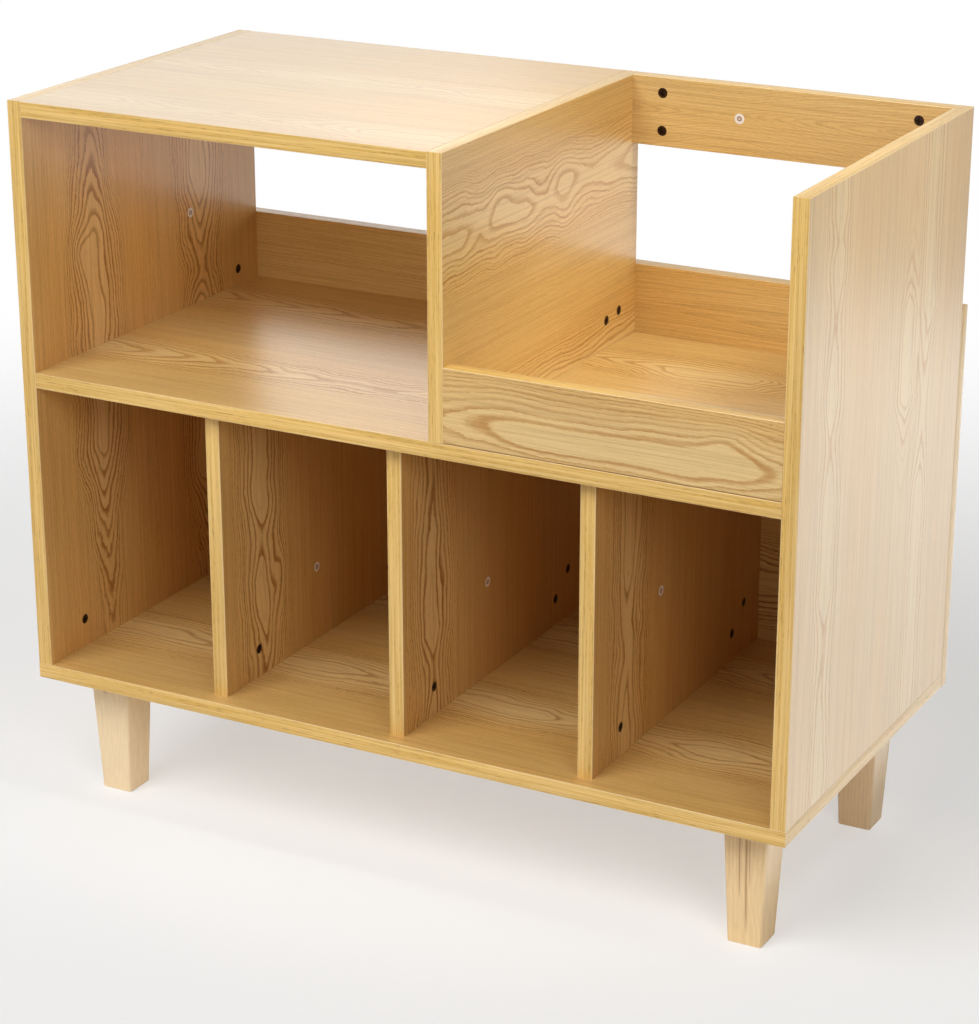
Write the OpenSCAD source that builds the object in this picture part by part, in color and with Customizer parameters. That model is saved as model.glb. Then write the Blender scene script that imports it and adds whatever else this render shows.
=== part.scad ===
// Free-standing record storage stand. Board panels edged with thin strips, four tapered
// legs. Upright slots below, an open cubby at the upper left and an open bin at the upper right.
// Millimetres, +Z up. Origin: centre of the footprint, on the floor. The front faces -Y.

/* [Overall] */
// Width over the side panels
stand_w = 950; // [900:10:1100]
// Depth of the side panels, without the back panel
side_d = 470; // [440:10:520]
// Height of the side panels above the base panel
side_h = 672; // [640:4:740]

/* [Boards] */
// Thickness of every board
board = 18; // [16:1:19]
// Thickness of the edge strips
strip = 1; // [0.8:0.1:1.5]

/* [Slots and cubbies] */
// Clear height of the record slots
slot_h = 342; // [325:1:360]
// Setback of the slot dividers from the front edge
divider_setback = 20; // [0:1:40]
// Clear width of the upper right bin
bin_w = 385; // [335:1:420]
// Height of the front lip's top above the shelf
lip_h = 84; // [60:1:140]
// Gap under the front lip
lip_gap = 1; // [0.5:0.5:3]
// Height of the back panel's top above the shelf
back_rise = 84; // [60:1:140]
// Height of the upper back rail
rail_h = 80; // [75:1:120]

/* [Legs] */
// Leg height
leg_h = 155; // [120:5:200]
// Leg width where it meets the base panel
leg_top_w = 53; // [45:1:60]
// Leg width at the floor
leg_foot_w = 40; // [30:1:45]
// Radius of the leg's long corners
leg_corner_r = 3; // [1:0.5:6]
// Leg centre from the side of the stand
leg_in_x = 64.5; // [60:0.5:90]
// Leg centre from the front and rear edges of the base
leg_in_y = 73.5; // [60:0.5:100]

/* [Cam joints] */
// Diameter of a cam
cam_d = 12; // [12:1:15]
// Depth of a cam
cam_depth = 13; // [12.5:0.5:13.5]
// How far a cam's face lies below the board's face
cam_sink = 0.4; // [0.1:0.1:1]
// Cam centre from the joint it pulls together
cam_reach = 34; // [30:1:40]
// Cam centre from a panel's rear edge where it holds the back panel
back_reach = 45; // [34:1:50]
// First cam's distance from a panel's front edge
cam_front_in = 70; // [60:1:90]
// Second cam's distance from a panel's rear edge
cam_rear_in = 78; // [60:1:90]
// Height of the back panel's lower cams above the base
back_cam_low = 62; // [50:1:90]
// Height above the shelf of the side panels' upper back cams
back_cam_side = 20; // [16:1:60]
// Height above the shelf of the centre divider's back cam
back_cam_centre = 38; // [34:1:60]
// Cams of the rail and lip from their ends
rail_reach = 38; // [34:1:45]
// Cams of the rail and lip from their long edges
rail_cam_in = 18; // [15:1:25]

/* [Dowels and leg bolts] */
// Dowel diameter
dowel_d = 8; // [6:1:8]
// Dowel length
dowel_l = 30; // [25:5:35]
// Dowel depth in a board's face
dowel_face = 10; // [8:1:11]
// Spacing from a cam to the dowel beside it
dowel_step = 32; // [25:1:40]
// Hanger bolt diameter
hanger_d = 8; // [6:1:8]
// Hanger bolt length inside the leg
hanger_leg_l = 40; // [30:5:60]
// Height of the threaded insert in the base
insert_h = 13; // [10:1:14]
// Outer diameter of the threaded insert
insert_d = 12; // [10:1:14]

/* [Labels] */
// Diameter of the round part labels
label_d = 12; // [8:1:15]
// Thickness of the part labels
label_t = 0.2; // [0.1:0.1:0.5]

/* [Hidden] */
$fn = 48;
// Cuts run this far past the face they leave by
past = 1;
// Bores are this much deeper than what they hold
bore_spare = 1;
// Number of upright dividers between the record slots, each a node of its own
dividers = 3;

BOARD_COLOR = [0.80, 0.62, 0.40];
STRIP_COLOR = [0.90, 0.74, 0.44];
LEG_COLOR = [0.88, 0.74, 0.54];
CAM_COLOR = [0.12, 0.08, 0.06];
STEEL_COLOR = [0.70, 0.70, 0.72];
DOWEL_COLOR = [0.86, 0.74, 0.56];
LABEL_COLOR = [0.94, 0.93, 0.90];

// Principal planes
half_w = stand_w / 2;
inner = half_w - board;
front = -(side_d + board) / 2;
rear = front + side_d;
back_face = rear + board;
base_top = leg_h + board;
shelf_bottom = base_top + slot_h;
shelf_top = shelf_bottom + board;
stand_top = base_top + side_h;
bin_left = inner - bin_w;
centre_left = bin_left - board;
rail_bottom = stand_top - rail_h;
divider_front = front + divider_setback;
slot_w = (2 * inner - dividers * board) / (dividers + 1);

// Left face of the numbered slot divider
function divider_x(i) = -inner + (i + 1) * slot_w + i * board;

// A board is [low corner, high corner, strips on its -X, +X, -Y, +Y, -Z, +Z edges]
LEFT_SIDE = [[-half_w, front, base_top], [-inner, rear, stand_top], [0, 0, 1, 1, 0, 1]];
RIGHT_SIDE = [[inner, front, base_top], [half_w, rear, stand_top], [0, 0, 1, 1, 0, 1]];
BASE = [[-half_w, front, leg_h], [half_w, rear, base_top], [1, 1, 1, 0, 0, 0]];
SHELF = [[-inner, front, shelf_bottom], [inner, rear, shelf_top], [0, 0, 1, 0, 0, 0]];
TOP = [[-inner, front, stand_top - board], [centre_left, rear, stand_top], [0, 0, 1, 1, 0, 0]];
CENTRE = [[centre_left, front, shelf_top], [bin_left, rear, stand_top], [0, 0, 1, 1, 0, 1]];
RAIL = [[bin_left, rear - board, rail_bottom], [inner, rear, stand_top], [0, 0, 0, 0, 1, 1]];
LIP = [[bin_left, front, shelf_top + lip_gap],
    [inner, front + board, shelf_top + lip_h], [0, 0, 0, 0, 1, 1]];
BACK = [[-half_w, rear, leg_h], [half_w, back_face, shelf_top + back_rise], [1, 1, 0, 0, 1, 1]];
function slot_divider(i) = [[divider_x(i), divider_front, base_top],
    [divider_x(i) + board, rear, shelf_bottom], [0, 0, 1, 0, 0, 0]];

// A cam joint is [cam centre on the board's face, face normal, direction to the joint, reach]
CAM_Y = [front + cam_front_in, rear - cam_rear_in];
DIVIDER_CAM_Y = [divider_front + cam_front_in, rear - cam_rear_in];

function base_cams(x, nx, ys, z) = [for (y = ys)
    [[x, y, z + cam_reach], [nx, 0, 0], [0, 0, -1], cam_reach]];
function back_cam(x, nx, z) = [[x, rear - back_reach, z], [nx, 0, 0], [0, 1, 0], back_reach];
function end_cams(x0, x1, z) = [for (y = CAM_Y, s = [-1, 1])
    [[s < 0 ? x0 + cam_reach : x1 - cam_reach, y, z], [0, 0, -1], [s, 0, 0], cam_reach]];
function strut_cams(y, ny, z0, z1) = [for (z = [z0 + rail_cam_in, z1 - rail_cam_in], s = [-1, 1])
    [[s < 0 ? bin_left + rail_reach : inner - rail_reach, y, z], [0, ny, 0], [s, 0, 0], rail_reach]];

LEFT_BASE = base_cams(-inner, 1, CAM_Y, base_top);
RIGHT_BASE = base_cams(inner, -1, CAM_Y, base_top);
CENTRE_SHELF = base_cams(bin_left, 1, CAM_Y, shelf_top);
SIDE_BACK_Z = [base_top + back_cam_low, shelf_top + back_cam_side];
LEFT_BACK = [for (z = SIDE_BACK_Z) back_cam(-inner, 1, z)];
RIGHT_BACK = [for (z = SIDE_BACK_Z) back_cam(inner, -1, z)];
CENTRE_BACK = [back_cam(bin_left, 1, shelf_top + back_cam_centre)];
SHELF_ENDS = end_cams(-inner, inner, shelf_bottom);
TOP_ENDS = end_cams(-inner, centre_left, stand_top - board);
RAIL_ENDS = strut_cams(rear - board, -1, rail_bottom, stand_top);
LIP_ENDS = strut_cams(front + board, 1, shelf_top, shelf_top + lip_h);
function divider_base(i) = base_cams(divider_x(i) + board, 1, DIVIDER_CAM_Y, base_top);
function divider_back(i) = [back_cam(divider_x(i) + board, 1, base_top + back_cam_low)];
DIVIDER_BASE = [for (i = [0:dividers - 1]) each divider_base(i)];
DIVIDER_BACK = [for (i = [0:dividers - 1]) each divider_back(i)];

BASE_JOINTS = concat(LEFT_BASE, RIGHT_BASE, DIVIDER_BASE);
BACK_JOINTS = concat(LEFT_BACK, RIGHT_BACK, CENTRE_BACK, DIVIDER_BACK);
ALL_JOINTS = concat(BASE_JOINTS, BACK_JOINTS, CENTRE_SHELF, SHELF_ENDS, TOP_ENDS, RAIL_ENDS, LIP_ENDS);

// A dowel joint is [point on the joint plane, direction into the board that is bored in its edge]
DOWEL_Y = [front + cam_front_in + dowel_step, rear - cam_rear_in - dowel_step];
DIVIDER_DOWEL_Y = [divider_front + cam_front_in + dowel_step, rear - cam_rear_in - dowel_step];
mid = board / 2;
LEFT_DOWELS = [for (y = DOWEL_Y) [[-half_w + mid, y, base_top], [0, 0, 1]]];
RIGHT_DOWELS = [for (y = DOWEL_Y) [[half_w - mid, y, base_top], [0, 0, 1]]];
CENTRE_DOWELS = [for (y = DOWEL_Y) [[centre_left + mid, y, shelf_top], [0, 0, 1]]];
SHELF_DOWELS = [for (y = DOWEL_Y, s = [-1, 1]) [[s * inner, y, shelf_bottom + mid], [-s, 0, 0]]];
TOP_DOWELS = [for (y = DOWEL_Y, s = [-1, 1])
    [[s < 0 ? -inner : centre_left, y, stand_top - mid], [-s, 0, 0]]];
function divider_foot(i) = [for (y = DIVIDER_DOWEL_Y)
    [[divider_x(i) + mid, y, base_top], [0, 0, 1]]];
function divider_head(i) = [for (y = DIVIDER_DOWEL_Y)
    [[divider_x(i) + mid, y, shelf_bottom], [0, 0, -1]]];
DIVIDER_FEET = [for (i = [0:dividers - 1]) each divider_foot(i)];
DIVIDER_HEADS = [for (i = [0:dividers - 1]) each divider_head(i)];
BASE_DOWELS = concat(LEFT_DOWELS, RIGHT_DOWELS, DIVIDER_FEET);
ALL_DOWELS = concat(BASE_DOWELS, DIVIDER_HEADS, CENTRE_DOWELS, SHELF_DOWELS, TOP_DOWELS);

// Cam and bolt details
cam_bore_extra = 0.5;
bolt_axis = board / 2;
head_d = 6;
head_l = 2.5;
head_room_d = 6.4;
neck_d = 3.6;
shank_d = 6.8;
shank_bore_d = 7.2;
thread_d = 5;
thread_l = 11;
cross_l = 7;
cross_w = 1.4;
cross_deep = 2.2;

LEG_X = [-half_w + leg_in_x, half_w - leg_in_x];
LEG_Y = [front + leg_in_y, rear - leg_in_y];

// Part label centres: from the front edge and above the base, or from the left and above the bottom
side_label = [323, 475];
divider_labels = [[220, 92], [217, 117], [188, 160]];
rail_label = [134, 42];

// A part label is [centre on the board's face, face normal]
LABELS = concat(
    [[[-inner, front + side_label[0], base_top + side_label[1]], [1, 0, 0]]],
    [for (i = [0:dividers - 1])
        [[divider_x(i) + board, front + divider_labels[i][0], base_top + divider_labels[i][1]], [1, 0, 0]]],
    [[[bin_left + rail_label[0], rear - board, rail_bottom + rail_label[1]], [0, -1, 0]]]
);

// Places children with their +Z along z_dir and their +X along x_dir
module at(p, z_dir, x_dir) {
    y_dir = cross(z_dir, x_dir);
    multmatrix([
        [x_dir[0], y_dir[0], z_dir[0], p[0]],
        [x_dir[1], y_dir[1], z_dir[1], p[1]],
        [x_dir[2], y_dir[2], z_dir[2], p[2]],
        [0, 0, 0, 1]
    ]) children();
}

// Any direction square to the given axis direction
function square_to(v) = v[2] == 0 ? [0, 0, 1] : [1, 0, 0];

// Core of a board: the whole board less its edge strips
module core(b) {
    lo = b[0] + strip * [b[2][0], b[2][2], b[2][4]];
    hi = b[1] - strip * [b[2][1], b[2][3], b[2][5]];
    translate(lo) cube(hi - lo);
}

// Edge strips of a board, one along each edge that has one
module strips(b) {
    size = b[1] - b[0];
    for (axis = [0:2], side = [0, 1])
        if (b[2][2 * axis + side] == 1) {
            flat = [for (k = [0:2]) k == axis ? strip : size[k]];
            shift = [for (k = [0:2]) k == axis && side == 1 ? size[k] - strip : 0];
            translate(b[0] + shift) cube(flat);
        }
}

// Bores in the board that carries the cams
module cam_bores(joints) {
    bore_l = cam_depth + cam_bore_extra;
    for (j = joints) at(j[0], j[1], j[2]) {
        translate([0, 0, -bore_l]) cylinder(d = cam_d, h = bore_l + past);
        translate([0, 0, -bolt_axis]) rotate([0, 90, 0]) cylinder(d = shank_bore_d, h = j[3] + past);
    }
}

// Bores in the board that the bolts screw into
module bolt_bores(joints) {
    for (j = joints) at(j[0], j[1], j[2])
        translate([j[3] - past, 0, -bolt_axis]) rotate([0, 90, 0])
            cylinder(d = thread_d, h = past + thread_l + bore_spare);
}

// Dowel bores, through the joint plane into both boards
module dowel_bores(joints) {
    for (j = joints) at(j[0], j[1], square_to(j[1]))
        translate([0, 0, -dowel_face - bore_spare]) cylinder(d = dowel_d, h = dowel_l + 2 * bore_spare);
}

// Cam: a drum with a cross recess in its face and a side mouth for the bolt's head
module cam() {
    drum_l = cam_depth - cam_sink;
    difference() {
        translate([0, 0, -cam_depth]) cylinder(d = cam_d, h = drum_l);
        for (a = [0, 90]) rotate([0, 0, a]) translate([-cross_l / 2, -cross_w / 2, -cam_sink - cross_deep])
            cube([cross_l, cross_w, cross_deep + past]);
        translate([0, 0, -bolt_axis]) rotate([0, 90, 0]) cylinder(d = head_room_d, h = cam_d);
    }
}

// Connecting bolt: head, neck, shank up to the joint, thread beyond it
module cam_bolt(reach) {
    translate([0, 0, -bolt_axis]) rotate([0, 90, 0]) {
        cylinder(d = head_d, h = head_l);
        cylinder(d = neck_d, h = cam_d);
        translate([0, 0, cam_d / 2]) cylinder(d = shank_d, h = reach - cam_d / 2);
        translate([0, 0, reach - past]) cylinder(d = thread_d, h = thread_l + past);
    }
}

module left_side_cuts() {
    cam_bores(concat(LEFT_BASE, LEFT_BACK));
    bolt_bores(concat(SHELF_ENDS, TOP_ENDS));
    dowel_bores(concat(LEFT_DOWELS, SHELF_DOWELS, TOP_DOWELS));
}

module right_side_cuts() {
    cam_bores(concat(RIGHT_BASE, RIGHT_BACK));
    bolt_bores(concat(SHELF_ENDS, RAIL_ENDS, LIP_ENDS));
    dowel_bores(concat(RIGHT_DOWELS, SHELF_DOWELS));
}

module centre_cuts() {
    cam_bores(concat(CENTRE_SHELF, CENTRE_BACK));
    bolt_bores(concat(TOP_ENDS, RAIL_ENDS, LIP_ENDS));
    dowel_bores(concat(CENTRE_DOWELS, TOP_DOWELS));
}

module divider_cuts(i) {
    cam_bores(concat(divider_base(i), divider_back(i)));
    dowel_bores(concat(divider_foot(i), divider_head(i)));
}

// A board's core, less the cuts given as children
module cut_core(b) {
    color(BOARD_COLOR) difference() {
        core(b);
        children();
    }
}

// A board's edge strips, less the cuts given as children
module cut_strips(b) {
    color(STRIP_COLOR) difference() {
        strips(b);
        children();
    }
}

module left_side_panel() { cut_core(LEFT_SIDE) left_side_cuts(); }
module left_side_edging() { cut_strips(LEFT_SIDE) left_side_cuts(); }
module right_side_panel() { cut_core(RIGHT_SIDE) right_side_cuts(); }
module right_side_edging() { cut_strips(RIGHT_SIDE) right_side_cuts(); }
module centre_divider() { cut_core(CENTRE) centre_cuts(); }
module centre_divider_edging() { cut_strips(CENTRE) centre_cuts(); }
module slot_divider_panel(i) { cut_core(slot_divider(i)) divider_cuts(i); }
module slot_divider_edging(i) { cut_strips(slot_divider(i)); }
module back_panel() { cut_core(BACK) bolt_bores(BACK_JOINTS); }
module upper_back_rail() { cut_core(RAIL) cam_bores(RAIL_ENDS); }
module front_lip() { cut_core(LIP) cam_bores(LIP_ENDS); }
module base_edging() { cut_strips(BASE); }
module middle_shelf_edging() { cut_strips(SHELF); }
module top_edging() { cut_strips(TOP); }
module back_edging() { cut_strips(BACK); }
module upper_back_rail_edging() { cut_strips(RAIL); }
module front_lip_edging() { cut_strips(LIP); }

module base_panel() {
    cut_core(BASE) {
        bolt_bores(BASE_JOINTS);
        dowel_bores(BASE_DOWELS);
        for (x = LEG_X, y = LEG_Y) translate([x, y, leg_h - past])
            cylinder(d = insert_d, h = insert_h + past);
    }
}

module middle_shelf() {
    cut_core(SHELF) {
        cam_bores(SHELF_ENDS);
        bolt_bores(CENTRE_SHELF);
        dowel_bores(concat(SHELF_DOWELS, CENTRE_DOWELS, DIVIDER_HEADS));
    }
}

module top_panel() {
    cut_core(TOP) {
        cam_bores(TOP_ENDS);
        dowel_bores(TOP_DOWELS);
    }
}

// Square leg, narrower at the floor, bored from above for its hanger bolt
module leg(x, y) {
    color(LEG_COLOR) translate([x, y, 0]) difference() {
        linear_extrude(height = leg_h, scale = leg_top_w / leg_foot_w)
            offset(r = leg_corner_r) square(leg_foot_w - 2 * leg_corner_r, center = true);
        translate([0, 0, leg_h - hanger_leg_l - bore_spare])
            cylinder(d = hanger_d, h = hanger_leg_l + bore_spare + past);
    }
}

module leg_inserts() {
    color(STEEL_COLOR) for (x = LEG_X, y = LEG_Y) translate([x, y, leg_h]) difference() {
        cylinder(d = insert_d, h = insert_h);
        translate([0, 0, -past]) cylinder(d = hanger_d, h = insert_h + 2 * past);
    }
}

module leg_hanger_bolts() {
    color(STEEL_COLOR) for (x = LEG_X, y = LEG_Y) translate([x, y, leg_h - hanger_leg_l])
        cylinder(d = hanger_d, h = hanger_leg_l + insert_h - bore_spare);
}

module cams() { color(CAM_COLOR) for (j = ALL_JOINTS) at(j[0], j[1], j[2]) cam(); }
module cam_bolts() { color(STEEL_COLOR) for (j = ALL_JOINTS) at(j[0], j[1], j[2]) cam_bolt(j[3]); }

module dowels() {
    color(DOWEL_COLOR) for (j = ALL_DOWELS) at(j[0], j[1], square_to(j[1]))
        translate([0, 0, -dowel_face]) cylinder(d = dowel_d, h = dowel_l);
}

module part_labels() {
    color(LABEL_COLOR) for (l = LABELS) at(l[0], l[1], square_to(l[1])) cylinder(d = label_d, h = label_t);
}

left_side_panel();
left_side_edging();
right_side_panel();
right_side_edging();
base_panel();
base_edging();
middle_shelf();
middle_shelf_edging();
top_panel();
top_edging();
centre_divider();
centre_divider_edging();
slot_divider_panel(0);  // slot_divider_1
slot_divider_edging(0);  // slot_divider_1_edging
slot_divider_panel(1);  // slot_divider_2
slot_divider_edging(1);  // slot_divider_2_edging
slot_divider_panel(2);  // slot_divider_3
slot_divider_edging(2);  // slot_divider_3_edging
back_panel();
back_edging();
upper_back_rail();
upper_back_rail_edging();
front_lip();
front_lip_edging();
leg(LEG_X[0], LEG_Y[0]);  // front_left_leg
leg(LEG_X[1], LEG_Y[0]);  // front_right_leg
leg(LEG_X[0], LEG_Y[1]);  // rear_left_leg
leg(LEG_X[1], LEG_Y[1]);  // rear_right_leg
leg_inserts();
leg_hanger_bolts();
cams();
cam_bolts();
dowels();
part_labels();
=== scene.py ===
"""Looks of a record storage stand: ash-figured laminate boards with edge strips, pine legs and cam locks."""

import logging
import math
from dataclasses import dataclass, field
from enum import Enum

import bpy
import numpy as np
from mathutils import Euler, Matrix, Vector


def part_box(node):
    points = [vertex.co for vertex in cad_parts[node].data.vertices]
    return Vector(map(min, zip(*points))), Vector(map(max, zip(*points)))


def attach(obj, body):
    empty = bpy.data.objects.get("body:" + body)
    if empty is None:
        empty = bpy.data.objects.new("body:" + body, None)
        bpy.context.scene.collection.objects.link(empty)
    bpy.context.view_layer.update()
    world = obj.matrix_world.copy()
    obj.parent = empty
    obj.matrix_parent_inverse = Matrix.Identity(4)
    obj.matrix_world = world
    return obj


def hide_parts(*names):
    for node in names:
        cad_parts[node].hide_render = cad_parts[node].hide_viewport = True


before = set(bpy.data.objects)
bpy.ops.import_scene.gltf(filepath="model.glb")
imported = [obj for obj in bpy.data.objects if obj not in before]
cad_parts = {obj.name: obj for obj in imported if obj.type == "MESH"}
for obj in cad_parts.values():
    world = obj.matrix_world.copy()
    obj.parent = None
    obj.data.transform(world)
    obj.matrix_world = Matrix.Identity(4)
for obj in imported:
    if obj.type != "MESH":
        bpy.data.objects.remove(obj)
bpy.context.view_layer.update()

logging.basicConfig(level=logging.INFO, format="%(message)s")
log = logging.getLogger("record_stand")

MM = 0.001
FILM_T = 1.0 * MM  # the film on the boards' edges
ROOT = "root"

Color = tuple[float, float, float]
Point = tuple[float, float, float]
Slope = tuple[float, ...]  # low and high ends of NodeBench.ease, then its start and end if not 0 and 1


# ---------------------------------------------------------------- meshes


def axis_vector(axis: int, sign: float = 1.0) -> np.ndarray:
    """Unit vector along axis 0, 1 or 2, turned round where sign is negative."""
    return np.eye(3)[axis] * sign


def rounded_square(width: np.ndarray, radius: float, steps: int) -> np.ndarray:
    """Outline of a square with round corners, one for each width.

    Formula: each corner is a quarter circle of the given radius about a point one radius inside
    the corner, so a point is the sign of its quadrant times (half width - radius), plus radius
    times (cos a, sin a), with a running once round.

    Args:
        width: widths of the squares, in metres.
        radius: corner radius, in metres.
        steps: points in each quarter circle.

    Returns:
        Array (len(width), 4 * steps, 2), anticlockwise.
    """
    quarter = np.arange(4).repeat(steps)
    angle = quarter * math.pi / 2 + np.tile(np.linspace(0, math.pi / 2, steps), 4)
    sign = np.stack([np.where(np.isin(quarter, (0, 3)), 1, -1), np.where(quarter < 2, 1, -1)], axis=1)
    arc = np.stack([np.cos(angle), np.sin(angle)], axis=1)
    inner = np.asarray(width)[:, None, None] / 2 - radius
    return sign[None] * inner + radius * arc[None]


def skin_faces(rings: int, around: int) -> list[list[int]]:
    """Faces of one closed skin: quads between neighbouring rings and a fan at each end.

    Args:
        rings: number of rings.
        around: points in each ring.

    Returns:
        Vertex numbers of each face. The two end points come after all rings.
    """
    ring = np.arange(rings - 1)[:, None] * around
    here = np.arange(around)[None]
    after = (here + 1) % around
    quads = np.stack([ring + here, ring + after, ring + around + after, ring + around + here], axis=-1)
    first, last = rings * around, rings * around + 1
    end = (rings - 1) * around
    fans = np.concatenate([
        np.stack([np.full(around, first), after[0], here[0]], axis=-1),
        np.stack([np.full(around, last), end + here[0], end + after[0]], axis=-1),
    ])
    return quads.reshape(-1, 4).tolist() + fans.tolist()


@dataclass
class Skin:
    """A mesh made of closed skins, each a stack of rings that ends in a point at both ends.

    rings holds the points as (skins, rings, around, 3), maps their places on the UV map as
    (skins, rings, around, 2) and marks other values of each point. Edges that turn less than
    smooth_below are smooth.
    """

    name: str
    rings: np.ndarray
    maps: np.ndarray | None = None
    marks: dict[str, np.ndarray] = field(default_factory=dict)
    smooth_below: float = math.radians(40)

    def points(self, values: np.ndarray) -> np.ndarray:
        """Puts each skin's end points, the means of its end rings, after the rings' own values.

        Args:
            values: array (skins, rings, around, n).

        Returns:
            Array (skins, rings * around + 2, n).
        """
        count, rings, around, size = values.shape
        flat = values.reshape(count, rings * around, size)
        return np.concatenate([flat, values[:, :1].mean(axis=2), values[:, -1:].mean(axis=2)], axis=1)

    def build(self) -> bpy.types.Object:
        """Makes the object, with its place in its mesh, its UV map and its marks.

        Returns:
            The object, linked to the scene.
        """
        count, rings, around, _ = self.rings.shape
        one = skin_faces(rings, around)
        step = rings * around + 2
        faces = [[v + k * step for v in face] for k in range(count) for face in one]
        points = self.points(self.rings).reshape(-1, 3)
        mesh = bpy.data.meshes.new(self.name)
        mesh.from_pydata(points.tolist(), [], faces)
        mesh.polygons.foreach_set("use_smooth", np.ones(len(mesh.polygons), bool))
        mesh.set_sharp_from_angle(angle=self.smooth_below)
        if self.maps is not None:
            corner = np.empty(len(mesh.loops), int)
            mesh.loops.foreach_get("vertex_index", corner)
            uv = self.points(self.maps).reshape(-1, 2)[corner]
            mesh.uv_layers.new(name="UVMap").data.foreach_set("uv", uv.ravel())
        for name, values in self.marks.items():
            mark = mesh.attributes.new(name=name, type="FLOAT", domain="POINT")
            mark.data.foreach_set("value", self.points(values[..., None]).ravel())
        mesh.update()
        piece = bpy.data.objects.new(self.name, mesh)
        bpy.context.scene.collection.objects.link(piece)
        return piece


def place(piece: bpy.types.Object, slot: str, material: bpy.types.Material, *nodes: str) -> None:
    """Sets a new piece into the frame.

    Args:
        piece: the new piece.
        slot: the record's material slot; not used.
        material: its finish.
        nodes: the CAD nodes that it stands for.
    """
    piece.data.materials.append(material)
    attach(piece, ROOT)
    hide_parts(*nodes)
    log.info("%s: %d faces, for %s", piece.name, len(piece.data.polygons), ", ".join(nodes))


def dress(node: str, material: bpy.types.Material) -> None:
    """Gives a CAD node its finish.

    Args:
        node: the node's name.
        material: its finish.
    """
    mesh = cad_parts[node].data
    mesh.materials.clear()
    mesh.materials.append(material)
    log.info("%s: %s", node, material.name)


# ---------------------------------------------------------------- shader nodes


class Field:
    """A number that varies over a surface: a node's output, with arithmetic."""

    def __init__(self, bench: "NodeBench", socket: bpy.types.NodeSocket) -> None:
        """Wraps the socket of a node on that bench."""
        self.bench = bench
        self.socket = socket

    def math(self, operation: str, *others: "Field | float") -> "Field":
        """The result of a Math node on this field and the others."""
        return self.bench.math(operation, self, *others)

    def __add__(self, other: "Field | float") -> "Field":
        """Sum."""
        return self.math("ADD", other)

    def __sub__(self, other: "Field | float") -> "Field":
        """Difference."""
        return self.math("SUBTRACT", other)

    def __mul__(self, other: "Field | float") -> "Field":
        """Product."""
        return self.math("MULTIPLY", other)

    def __truediv__(self, other: "Field | float") -> "Field":
        """Quotient."""
        return self.math("DIVIDE", other)

    def __neg__(self) -> "Field":
        """Opposite."""
        return self.math("MULTIPLY", -1.0)


@dataclass(frozen=True)
class Wave:
    """Noise drawn out along the grain: its wavelengths and reach in millimetres, its seed and make-up."""

    along: float
    across: float
    seed: float
    reach: float = 0.0
    detail: float = 1.0
    roughness: float = 0.5


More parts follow.
